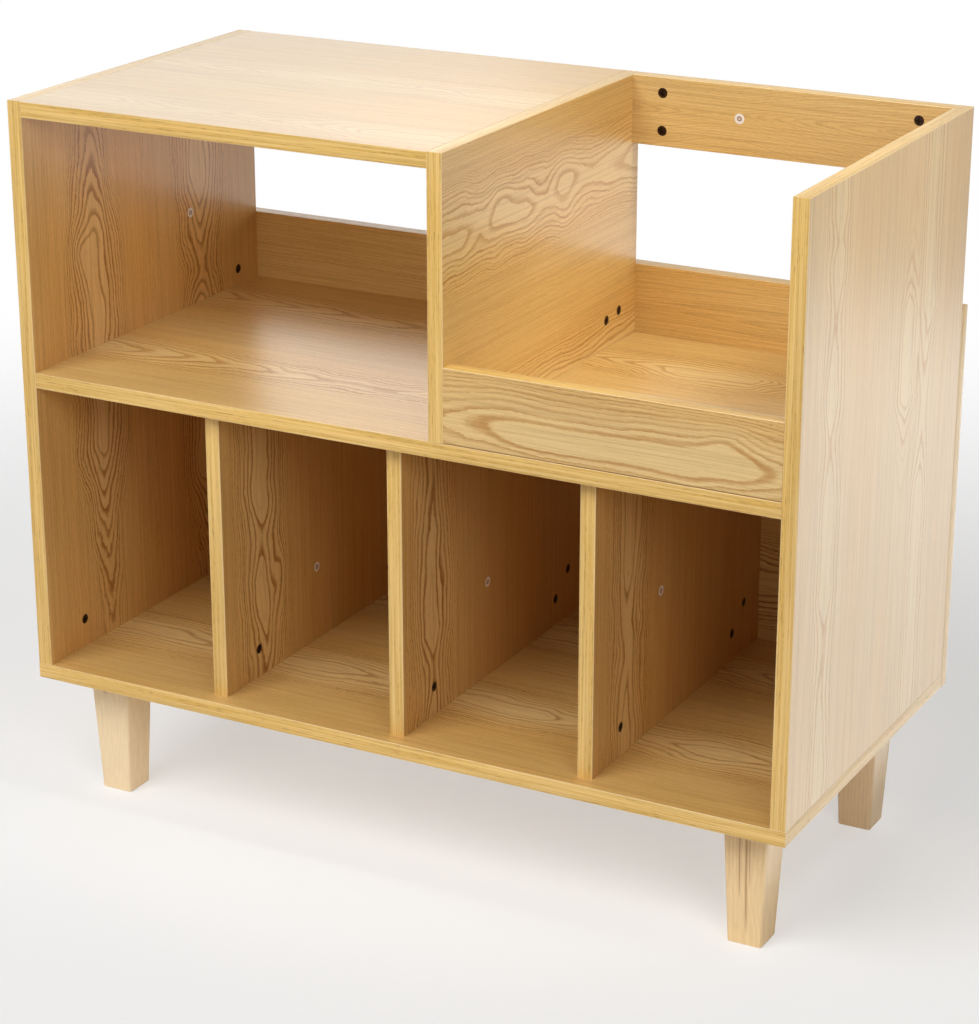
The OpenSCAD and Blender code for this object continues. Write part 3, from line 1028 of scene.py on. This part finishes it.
@dataclass
class EdgeStrips:
    """Thin strips on the boards' edges, with rounded arrises and ends."""

    film_t: float = FILM_T
    arris_r: float = 0.75 * MM
    end_r: float = 0.35 * MM
    arc_steps: int = 5
    stagger: float = 0.37
    film: EdgeFilm = EdgeFilm()
    edges: dict[str, tuple[Edge, ...]] = field(default_factory=lambda: {
        "left_side": (Edge.FRONT, Edge.REAR, Edge.TOP),
        "right_side": (Edge.FRONT, Edge.REAR, Edge.TOP),
        "base": (Edge.FRONT, Edge.LEFT, Edge.RIGHT),
        "middle_shelf": (Edge.FRONT,),
        "top": (Edge.FRONT, Edge.REAR),
        "centre_divider": (Edge.FRONT, Edge.REAR, Edge.TOP),
        "slot_divider_1": (Edge.FRONT,),
        "slot_divider_2": (Edge.FRONT,),
        "slot_divider_3": (Edge.FRONT,),
        "back": (Edge.LEFT, Edge.RIGHT, Edge.TOP, Edge.BOTTOM),
        "upper_back_rail": (Edge.TOP, Edge.BOTTOM),
        "front_lip": (Edge.TOP, Edge.BOTTOM),
    })

    def profile(self, width: float) -> tuple[np.ndarray, np.ndarray]:
        """Outline of a strip, and how much each of its points lies on an arris.

        Formula: a rectangle of the board's thickness by the film's, whose two outer corners are
        quarter circles of the arris radius.

        Args:
            width: the board's thickness, in metres.

        Returns:
            Outline (n, 2) as (across, outward), and the arris share (n,), 1 in the middle of a corner.
        """
        turn = np.linspace(0, math.pi / 2, self.arc_steps)
        half, top = width / 2 - self.arris_r, self.film_t - self.arris_r
        right = np.stack([half + self.arris_r * np.cos(turn), top + self.arris_r * np.sin(turn)], axis=1)
        left = right[::-1] * (-1, 1)
        foot = np.array([[-width / 2, 0.0], [width / 2, 0.0]])
        share = np.sin(2 * turn)
        return np.concatenate([foot, right, left]), np.concatenate([[0, 0], share, share[::-1]])

    def strip(self, low: np.ndarray, high: np.ndarray, edge: Edge, phase: float) -> tuple[np.ndarray, ...]:
        """One strip as rings along its length.

        Formula: the profile is carried along the longest side of the edge. At the ends it is
        drawn in by the end radius, which turns a quarter circle.

        Args:
            low: low corner of the strip's box.
            high: high corner of the strip's box.
            edge: the board's edge that it is on.
            phase: start of its map along the length, in metres.

        Returns:
            Rings (m, n, 3), map (m, n, 2) and arris share (m, n).
        """
        normal, sign = edge.value
        run, wide = sorted((a for a in range(3) if a != normal), key=lambda a: low[a] - high[a])
        outline, share = self.profile(high[wide] - low[wide])
        turn = np.linspace(0, math.pi / 2, self.arc_steps)
        length = high[run] - low[run]
        start = self.end_r * (1 - np.sin(turn))
        inset = self.end_r * (1 - np.cos(turn))
        inset_from_start = np.concatenate([inset[::-1], inset])
        stations = np.concatenate([start[::-1], length - start])
        stations.sort()
        middle = (low + high) / 2
        middle[normal] = high[normal] if sign < 0 else low[normal]
        centre = np.array([0.0, self.film_t / 2])
        shrink = 1 - inset_from_start[:, None] / np.array([outline[:, 0].max(), self.film_t])
        shaped = centre + (outline - centre)[None] * shrink[:, None]
        rings = middle + shaped[..., :1] * axis_vector(wide) + shaped[..., 1:] * axis_vector(normal, sign)
        rings += (low[run] - middle[run] + stations)[:, None, None] * axis_vector(run)
        if np.linalg.det(np.stack([axis_vector(wide), axis_vector(normal, sign), axis_vector(run)])) < 0:
            rings, share = rings[:, ::-1], share[::-1]
            outline = outline[::-1]
        around = np.concatenate([[0], np.cumsum(np.linalg.norm(np.diff(outline, axis=0), axis=1))])
        maps = np.stack(np.broadcast_arrays((phase + stations)[:, None], around[None]), axis=-1)
        return rings, maps, np.broadcast_to(share, rings.shape[:2])

    def boxes(self, board: str) -> list[tuple[np.ndarray, np.ndarray, Edge]]:
        """Boxes of a board's strips. Front and rear strips run through, and the others stop between them.

        Args:
            board: the board's name in edges.

        Returns:
            Low corner, high corner and edge of each strip.
        """
        low, high = (np.array(corner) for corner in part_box(board + "_edging"))
        edges = self.edges[board]
        made = []
        through = [e for e in edges if e.value[0] == 1] or [e for e in edges if e.value[0] == 0]
        for edge in edges:
            normal, sign = edge.value
            corners = low.copy(), high.copy()
            near, far = corners if sign < 0 else corners[::-1]
            far[normal] = near[normal] - sign * self.film_t
            for other in through if edge not in through else ():
                axis, side = other.value
                corners[side > 0][axis] -= side * self.film_t
            made.append((*corners, edge))
        return made

    def build_all(self) -> None:
        """Makes each board's strips as one piece."""
        material = self.film.build()
        count = 0
        for board in self.edges:
            parts = []
            for low, high, edge in self.boxes(board):
                parts.append(self.strip(low, high, edge, count * self.stagger))
                count += 1
            rings, maps, share = (np.stack(group) for group in zip(*parts))
            piece = Skin(board + "_edge_strips", rings, maps, {"arris": share}).build()
            place(piece, "edge_strip", material, board + "_edging")


@dataclass
class Legs:
    """Four square legs, narrower at the floor, each bored from above for its hanger bolt."""

    foot_w: float = 40 * MM
    corner_r: float = 3.0 * MM
    foot_ease: float = 1.2 * MM
    top_ease: float = 0.4 * MM
    bore_r: float = 4.0 * MM
    bore_l: float = 41 * MM
    corner_steps: int = 7
    ease_steps: int = 4
    pine: Pine = Pine()
    timbers: dict[str, Timber] = field(default_factory=lambda: {
        # painted light, in part: the front-left leg's plain colour is made paler to stand for the light that
        # falls on it
        "front_left_leg": Timber(0.0, (0.940, 0.740, 0.470), 0.18, (Knot((-0.4165, -0.197, 0.132), 4.5),)),
        "front_right_leg": Timber(
            3.1, (0.900, 0.660, 0.360), 0.6, (),
            (Streak(0.4047, 1.1, 0.085), Streak(0.4126, 1.4, 0.045), Streak(0.4165, 0.6, 0.1)),
        ),
        "rear_left_leg": Timber(6.2, (0.900, 0.690, 0.420), 0.5),
        "rear_right_leg": Timber(9.3, (0.930, 0.710, 0.450), 0.4, (Knot((0.436, 0.150, 0.060), 3.0),)),
    })

    def rings(self, low: np.ndarray, high: np.ndarray) -> np.ndarray:
        """The leg's surface.

        Formula: a rounded square whose width grows evenly from the floor to the base, with eased
        ends, which then turns in over the top face to a circle and goes down the bore.

        Args:
            low: low corner of the leg's box.
            high: high corner of the leg's box.

        Returns:
            Rings (1, m, n, 3) from the floor to the bore's bottom.
        """
        height, top_w = high[2] - low[2], high[0] - low[0]
        turn = np.linspace(0, math.pi / 2, self.ease_steps)
        rise = np.concatenate([self.foot_ease * (1 - np.cos(turn)), height - self.top_ease * np.cos(turn)])
        draw = np.concatenate([self.foot_ease * (1 - np.sin(turn)), self.top_ease * (1 - np.sin(turn[::-1]))])
        width = self.foot_w + (top_w - self.foot_w) * rise / height - 2 * draw
        outer = rounded_square(width, self.corner_r, self.corner_steps)
        rise_all = np.concatenate([rise, [height, height - self.bore_l]])
        around = (np.arange(outer.shape[1]) + 0.5) * 2 * math.pi / outer.shape[1]
        circle = self.bore_r * np.stack([np.cos(around), np.sin(around)], axis=1)
        outline = np.concatenate([outer, circle[None], circle[None]])
        centre = (low + high) / 2
        level = np.broadcast_to((low[2] + rise_all)[:, None], outline.shape[:2])
        return np.concatenate([outline + centre[:2], level[..., None]], axis=-1)[None]

    def build_all(self) -> None:
        """Makes the four legs."""
        for name, timber in self.timbers.items():
            low, high = (np.array(corner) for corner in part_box(name))
            piece = Skin(name + "_timber", self.rings(low, high)).build()
            place(piece, "leg_timber", self.pine.build(name, timber), name)


@dataclass(frozen=True)
class Joint:
    """A seat on a board's face: its centre, the face's normal, and the way to the joint or up a label."""

    centre: np.ndarray
    normal: np.ndarray
    toward: np.ndarray


def point(x: float, y: float, z: float) -> np.ndarray:
    """A point of the frame."""
    return np.array([x, y, z])


def seated(shape: np.ndarray, joints: list[Joint]) -> np.ndarray:
    """Copies a shape to each joint.

    Formula: a point (a, b, c) goes to the joint's centre, plus a along the way to the joint, b
    along the normal crossed with that way, and c along the normal.

    Args:
        shape: rings (m, n, 3) about the origin, face up.
        joints: where the copies go.

    Returns:
        Rings (copies, m, n, 3).
    """
    axes = np.stack([np.stack([at.toward, np.cross(at.normal, at.toward), at.normal]) for at in joints])
    centres = np.stack([at.centre for at in joints])
    return np.einsum("mni,kij->kmnj", shape, axes) + centres[:, None, None]


@dataclass
class CamLocks:
    """Cams that draw the boards together, sunk in round bores and turned with a cross driver.

    reach is how far a cam is from its joint, and front_in and rear_in how far it is from the
    board's front and rear edges. The fields from back_reach to back_centre place the cams that
    hold the back panel, and those of strut_ the cams in the rail and the lip.
    """

    radius: float = 6.0 * MM
    depth: float = 13.0 * MM
    sunk: float = 0.4 * MM
    rim: float = 0.5 * MM
    cross_l: float = 7.0 * MM
    cross_w: float = 1.5 * MM
    cross_deep: float = 2.2 * MM
    mouth_r: float = 3.1 * MM
    mouth_deep: float = 3.6 * MM
    bolt_axis: float = 9.0 * MM
    reach: float = 34 * MM
    front_in: float = 70 * MM
    rear_in: float = 78 * MM
    back_reach: float = 45 * MM
    back_low: float = 62 * MM
    back_side: float = 20 * MM
    back_centre: float = 38 * MM
    strut_reach: float = 38 * MM
    strut_in: float = 18 * MM
    around: int = 60
    face_rings: int = 22
    wall_rings: int = 18
    first_ring: float = 0.02
    slope: float = 0.25 * MM
    mouth_edge: float = 1.25
    smooth_below: float = math.radians(35)
    cast: Steel = Steel("cam_zinc", (0.050, 0.023, 0.013), 0.34, 0.85)

    def joints(self) -> list[Joint]:
        """Every cam's place, measured from the boards' boxes.

        Returns:
            One joint for each cam.
        """
        box = {name: tuple(np.array(c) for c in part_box(name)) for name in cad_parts}
        film = FILM_T
        x, y, z = (axis_vector(a) for a in range(3))
        base_top = box["base_panel"][1][2]
        shelf_low, shelf_top = box["middle_shelf"][0][2], box["middle_shelf"][1][2]
        front = box["left_side_panel"][0][1] - film
        rear = box["left_side_panel"][1][1] + film
        left, right = box["middle_shelf"][0][0], box["middle_shelf"][1][0]
        centre_left, bin_left = box["centre_divider"][0][0], box["centre_divider"][1][0]
        made = []

        def row(face_x: float, side: np.ndarray, floor: float, start: float) -> None:
            """Two cams above a joint at floor level, on a face across X."""
            for at in (start + self.front_in, rear - self.rear_in):
                made.append(Joint(point(face_x, at, floor + self.reach), side, -z))

        def to_back(face_x: float, side: np.ndarray, level: float) -> None:
            """A cam that holds the back panel."""
            made.append(Joint(point(face_x, rear - self.back_reach, level), side, y))

        for face_x, side in ((left, x), (right, -x)):
            row(face_x, side, base_top, front)
            to_back(face_x, side, base_top + self.back_low)
            to_back(face_x, side, shelf_top + self.back_side)
        row(bin_left, x, shelf_top, front)
        to_back(bin_left, x, shelf_top + self.back_centre)
        for name in ("slot_divider_1", "slot_divider_2", "slot_divider_3"):
            low, high = box[name]
            row(high[0], x, base_top, low[1] - film)
            to_back(high[0], x, base_top + self.back_low)
        spans = ((left, right, shelf_low), (left, centre_left, box["top_panel"][0][2]))
        for x0, x1, level in spans:
            for at in (front + self.front_in, rear - self.rear_in):
                made.append(Joint(point(x0 + self.reach, at, level), -z, -x))
                made.append(Joint(point(x1 - self.reach, at, level), -z, x))
        lip_low, lip_high = box["front_lip"]
        rail_low, rail_high = box["upper_back_rail"]
        struts = (
            (rail_low[1], -y, rail_low[2] - film, rail_high[2] + film),
            (lip_high[1], y, lip_low[2] - 2 * film, lip_high[2] + film),
        )
        for face_y, side, bottom, top in struts:
            for level in (bottom + self.strut_in, top - self.strut_in):
                made.append(Joint(point(bin_left + self.strut_reach, face_y, level), side, -x))
                made.append(Joint(point(right - self.strut_reach, face_y, level), side, x))
        return made

    def drum(self) -> np.ndarray:
        """One cam about its own axis, with its face at the top.

        Formula: rings run from the middle of the face to the rim, down the wall and in over the
        bottom. The face sinks by the depth of the cross wherever a point is within half a
        slot's width of one of two crossed lines and within half its length of the middle. The
        wall draws in towards the bolt, as a dish that is deepest on the bolt's own axis.

        Returns:
            Rings (m, around, 3), face up.
        """
        turn = np.linspace(0, 2 * math.pi, self.around, endpoint=False)[None]
        share = np.linspace(self.first_ring, 1, self.face_rings)[:, None]
        face_r = share * (self.radius - self.rim)
        px, py = face_r * np.cos(turn), face_r * np.sin(turn)

        def inside(value: np.ndarray, limit: float) -> np.ndarray:
            """1 within the limit, 0 beyond it, and a steep slope between."""
            return np.clip((limit + self.slope / 2 - np.abs(value)) / self.slope, 0, 1)

        arms = [inside(a, self.cross_w / 2) * inside(b, self.cross_l / 2) for a, b in ((px, py), (py, px))]
        level = -self.sunk - self.cross_deep * np.maximum(*arms)
        face = np.stack([px, py, level], axis=-1)

        bend = np.linspace(0, math.pi / 2, 4)[1:, None]
        rim_r = self.radius - self.rim * (1 - np.sin(bend))
        rim_z = -self.sunk - self.rim * (1 - np.cos(bend))
        wall_z = np.linspace(-self.sunk - self.rim * 1.5, -self.depth + self.rim, self.wall_rings)[:, None]
        wall_r = np.full_like(wall_z, self.radius)
        side_r = np.concatenate([rim_r, wall_r, np.full((1, 1), self.radius - self.rim)])
        side_z = np.concatenate([rim_z, wall_z, np.full((1, 1), -self.depth)])
        across = np.where(np.cos(turn) > 0, self.radius * np.sin(turn), self.radius)
        gap = np.hypot(across, side_z + self.bolt_axis) / self.mouth_r
        dish = np.clip(self.mouth_edge - gap, 0, 1) ** 0.5 * (gap < self.mouth_edge)
        shrunk = side_r - self.mouth_deep * dish
        wall = np.stack(np.broadcast_arrays(shrunk * np.cos(turn), shrunk * np.sin(turn), side_z), axis=-1)
        return np.concatenate([face, wall])

    def build_all(self) -> None:
        """Makes every cam in one piece: the drum is turned to each joint's own axes."""
        rings = seated(self.drum(), self.joints())
        piece = Skin("cam_locks", rings[:, ::-1], smooth_below=self.smooth_below).build()
        place(piece, "cam_metal", self.cast.build(), "cams")


@dataclass
class PartLabels:
    """Round paper labels stuck on the inner faces: each place is a distance and a height on its board."""

    radius: float = 6.0 * MM
    thickness: float = 0.2 * MM
    curl: float = 0.05 * MM
    around: int = 48
    shares: tuple[float, ...] = (0.02, 0.2, 0.4, 0.6, 0.8, 0.97, 1.0, 1.0, 0.97, 0.02)
    levels: tuple[float, ...] = (1, 1, 1, 1, 1, 1, 0.8, 0.1, 0, 0)
    paper: LabelPaper = LabelPaper()
    side: tuple[float, float] = (323 * MM, 475 * MM)
    dividers: tuple[tuple[float, float], ...] = (
        (220 * MM, 92 * MM), (217 * MM, 117 * MM), (188 * MM, 160 * MM),
    )
    rail: tuple[float, float] = (134 * MM, 42 * MM)

    def spots(self) -> list[Joint]:
        """Each label's centre, its face's normal and the way that its map runs.

        Returns:
            One seat for each label.
        """
        x, y, z = (axis_vector(a) for a in range(3))
        low, high = (np.array(c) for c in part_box("left_side_panel"))
        front, floor = low[1] - FILM_T, low[2]
        made = [Joint(point(high[0], front + self.side[0], floor + self.side[1]), x, z)]
        for number, (inward, level) in enumerate(self.dividers, start=1):
            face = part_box(f"slot_divider_{number}")[1][0]
            made.append(Joint(point(face, front + inward, floor + level), x, z))
        low, high = (np.array(c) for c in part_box("upper_back_rail"))
        made.append(Joint(point(low[0] + self.rail[0], low[1], low[2] - FILM_T + self.rail[1]), -y, z))
        return made

    def disc(self) -> np.ndarray:
        """One label about its own axis.

        Formula: rings run from the middle of the face to its edge and back under it. The face
        lifts as the square of the radius by the curl, and its edge is rounded.

        Returns:
            Rings (m, around, 3), face up.
        """
        turn = np.linspace(0, 2 * math.pi, self.around, endpoint=False)[None]
        share = np.array(self.shares)[:, None]
        level = np.array(self.levels)[:, None] * (self.thickness - self.curl)
        rise = level + self.curl * share**2 * (level > 0)
        flat_x, flat_y = self.radius * share * np.cos(turn), self.radius * share * np.sin(turn)
        return np.stack(np.broadcast_arrays(flat_x, flat_y, rise), axis=-1)

    def build_all(self) -> None:
        """Makes the labels in one piece."""
        disc = self.disc()
        rings = seated(disc, self.spots())
        maps = np.broadcast_to(disc[None, ..., :2], (*rings.shape[:3], 2))
        piece = Skin("label_discs", rings[:, ::-1], maps[:, ::-1]).build()
        place(piece, "label_paper", self.paper.build(), "part_labels")


@dataclass
class HiddenFixings:
    """Bolts, inserts and dowels inside the joints, which stay as the CAD made them."""

    zinc: Steel = Steel("zinc_steel", (0.60, 0.60, 0.62), 0.32)
    beech: DowelBeech = DowelBeech()
    steel_nodes: tuple[str, ...] = ("cam_bolts", "leg_inserts", "leg_hanger_bolts")

    def dress_all(self) -> None:
        """Gives the fixings their finishes."""
        material = self.zinc.build()
        for node in self.steel_nodes:
            dress(node, material)
        dress("dowels", self.beech.build())


# ---------------------------------------------------------------- studio


def look(at: Point, aim: Point) -> Euler:
    """The turn of a lamp or camera that stands at one point and looks at another."""
    return (Vector(aim) - Vector(at)).to_track_quat("-Z", "Y").to_euler()


class Reach(Enum):
    """What a lamp does: it lights surfaces, or is mirrored in them, or both."""

    LIGHT = (True, False)
    MIRROR = (False, True)
    BOTH = (True, True)


@dataclass(frozen=True)
class Softbox:
    """A rectangular lamp: place, aim, size in metres, radiance, where 1 is white, and spread in degrees."""

    name: str
    at: Point
    aim: Point
    size: tuple[float, float]
    radiance: float
    reach: Reach = Reach.BOTH
    spread: float = 180.0

    def build(self) -> None:
        """Makes the lamp.

        Formula: its power is its radiance times pi times its area, less what the spread keeps back.
        """
        half = math.radians(self.spread) / 2
        data = bpy.data.lights.new(self.name, "AREA")
        data.shape = "RECTANGLE"
        data.size, data.size_y = self.size
        data.spread = 2 * half
        data.energy = self.radiance * math.pi * self.size[0] * self.size[1] * (1 - half / math.tan(half))
        lamp = bpy.data.objects.new(self.name, data)
        lamp.location = self.at
        lamp.rotation_euler = look(self.at, self.aim)
        lamp.visible_camera = False
        lamp.visible_diffuse, lamp.visible_glossy = self.reach.value
        bpy.context.scene.collection.objects.link(lamp)
        log.info("%s: %.1f W", self.name, data.energy)


@dataclass
class Studio:
    """White sweep, soft lamps and the camera."""

    ambient: float = 0.04
    floor_r: float = 6.0
    floor_points: int = 96
    floor_color: Color = (0.93, 0.93, 0.93)
    floor_rough: float = 0.9
    floor_white: float = 0.45
    fade_from: float = 0.9
    fade_to: float = 2.4
    camera_at: Point = (1.476, -2.763, 1.513)
    camera_aim: Point = (-0.003, 0.0, 0.365)
    lens: float = 101.6
    sensor: float = 36.0
    lamps: tuple[Softbox, ...] = (
        Softbox("key", (-1.2, -3.6, 4.2), (0.0, -0.1, 0.45), (3.7, 2.5), 6.5),
        Softbox("front", (0.4, -4.0, 2.1), (0.0, 0.0, 0.5), (2.4, 1.4), 0.5),
        Softbox("side_fill", (2.6, -2.4, 2.2), (0.0, 0.0, 0.5), (1.6, 1.5), 5.3, Reach.LIGHT),
        Softbox("left_fill", (-2.8, -0.7, 0.8), (0.0, 0.0, 0.45), (1.4, 1.2), 2.0, Reach.LIGHT),
        Softbox("bin", (0.95, -0.08, 1.80), (0.15, 0.02, 0.61), (0.6, 0.6), 31.0, Reach.LIGHT, 30.0),
        Softbox("cubby", (-0.15, -2.6, 0.95), (-0.2, 0.2, 0.66), (0.5, 0.5), 28.0, Reach.LIGHT, 12.0),
        Softbox("floor_glow", (1.22, 0.7, 0.02), (1.22, 0.7, 1.0), (1.5, 3.0), 1.7, Reach.MIRROR),
        Softbox("behind", (-2.75, 3.3, 2.75), (-0.3, 0.0, 0.8), (2.1, 1.9), 2.0, Reach.MIRROR),
        Softbox("backdrop", (0.0, 3.2, 0.85), (0.0, 0.0, 0.60), (6.0, 1.6), 2.4, Reach.LIGHT),
    )

    def world(self) -> None:
        """White where the camera or a reflection looks, dimmer as light on the object."""
        world = bpy.data.worlds.new("white_sweep")
        world.use_nodes = True
        bpy.context.scene.world = world
        nodes, links = world.node_tree.nodes, world.node_tree.links
        path = nodes.new("ShaderNodeLightPath")
        seen = path.outputs["Is Camera Ray"]
        for name in ("Is Glossy Ray", "Is Transmission Ray"):
            both = nodes.new("ShaderNodeMath")
            both.operation = "MAXIMUM"
            links.new(seen, both.inputs[0])
            links.new(path.outputs[name], both.inputs[1])
            seen = both.outputs[0]
        level = nodes.new("ShaderNodeMapRange")
        links.new(seen, level.inputs["Value"])
        level.inputs["To Min"].default_value = self.ambient
        back = nodes["Background"]
        back.inputs["Color"].default_value = (1.0, 1.0, 1.0, 1.0)
        links.new(level.outputs[0], back.inputs["Strength"])

    def floor(self) -> None:
        """A pale disc on which the stand stands, which fades into the white round it.

        A share of what the camera sees of it is plain white, and the rest keeps the shadow.
        """
        turn = np.linspace(0, 2 * math.pi, self.floor_points, endpoint=False)
        points = np.stack([np.cos(turn), np.sin(turn), np.zeros_like(turn)], axis=1) * self.floor_r
        mesh = bpy.data.meshes.new("floor")
        mesh.from_pydata(points.tolist(), [], [list(range(len(turn)))])
        disc = bpy.data.objects.new("floor", mesh)
        bpy.context.scene.collection.objects.link(disc)
        bench = NodeBench("floor_paper")
        x, y, _ = bench.parts(bench.object_place())
        far = (x * x + y * y).math("SQRT") * MM
        bench.finish(self.floor_color, self.floor_rough, None, Specular_IOR_Level=0.0)
        white = bench.node("ShaderNodeEmission")
        clear = bench.node("ShaderNodeBsdfTransparent")
        seen = Field(bench, bench.node("ShaderNodeLightPath").outputs["Is Camera Ray"]) * self.floor_white
        shader = bench.surface.outputs[0]
        for share, other in ((seen, white), (bench.ease(far, self.fade_from, self.fade_to), clear)):
            joined = bench.node("ShaderNodeMixShader")
            bench.feed(joined.inputs[0], share)
            bench.tree.links.new(shader, joined.inputs[1])
            bench.tree.links.new(other.outputs[0], joined.inputs[2])
            shader = joined.outputs[0]
        bench.tree.links.new(shader, bench.tree.nodes["Material Output"].inputs[0])
        mesh.materials.append(bench.material)

    def camera(self) -> None:
        """The camera at the photograph's viewing angle."""
        data = bpy.data.cameras.new("camera")
        data.lens, data.sensor_width = self.lens, self.sensor
        camera = bpy.data.objects.new("camera", data)
        camera.location = self.camera_at
        camera.rotation_euler = look(self.camera_at, self.camera_aim)
        bpy.context.scene.collection.objects.link(camera)
        bpy.context.scene.camera = camera

    def build_all(self) -> None:
        """Makes the camera, the world, the floor and the lamps."""
        self.camera()
        self.world()
        self.floor()
        for lamp in self.lamps:
            lamp.build()
        bpy.context.scene.view_settings.view_transform = "Standard"


def main() -> None:
    Studio().build_all()
    Boards().dress_all()
    EdgeStrips().build_all()
    Legs().build_all()
    CamLocks().build_all()
    PartLabels().build_all()
    HiddenFixings().dress_all()


if __name__ == "__main__":
    main()
